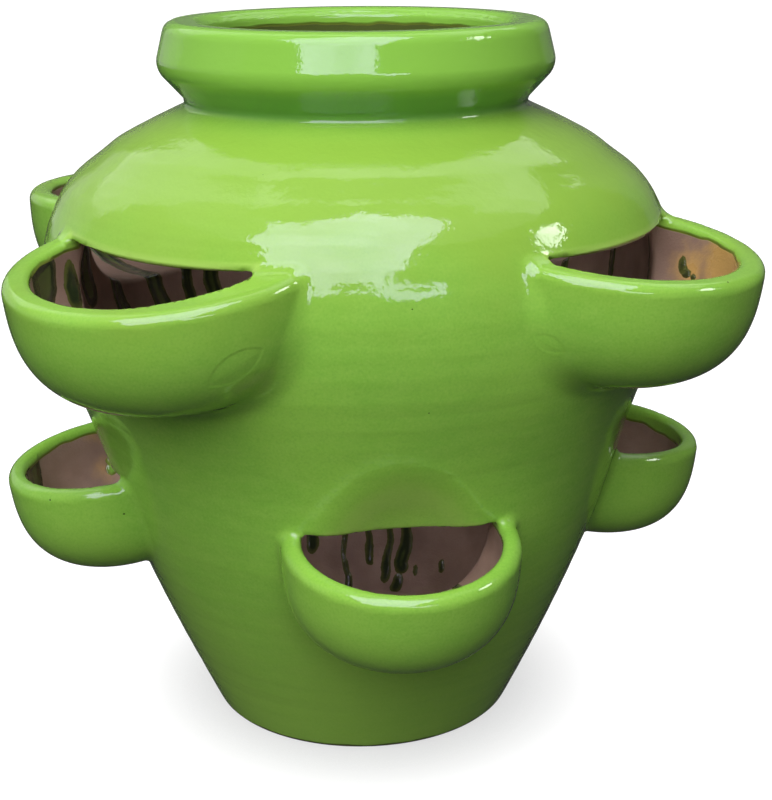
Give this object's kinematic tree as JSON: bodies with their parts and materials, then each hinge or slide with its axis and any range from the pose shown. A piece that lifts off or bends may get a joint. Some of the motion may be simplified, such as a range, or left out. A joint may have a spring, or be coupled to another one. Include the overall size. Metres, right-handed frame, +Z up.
{
  "type": "strawberry jar planter",
  "caption": "Glazed stoneware strawberry jar: a bellied jar on a narrow foot with a rolled collar and two staggered rows of cup-shaped planting pockets that open into it.",
  "frame": {"origin": "centre of the foot, on the ground plane", "axes": "+Z up along the axis of the jar, -Y towards the front, through the middle of one lower pocket, +X right"},
  "size_m": [0.4118, 0.4118, 0.4],
  "materials": {
    "green_glaze": "glossy lime green glaze on stoneware",
    "bare_clay": "matt fired clay"
  },
  "bodies": {
    "root": {"jar_wall": "green_glaze", "jar_floor": "bare_clay", "collar": "green_glaze", "lower_pocket_front": "green_glaze", "lower_pocket_right": "green_glaze", "lower_pocket_back": "green_glaze", "lower_pocket_left": "green_glaze", "upper_pocket_front_left": "green_glaze", "upper_pocket_front_right": "green_glaze", "upper_pocket_back_right": "green_glaze", "upper_pocket_back_left": "green_glaze"}
  },
  "joints": []
}
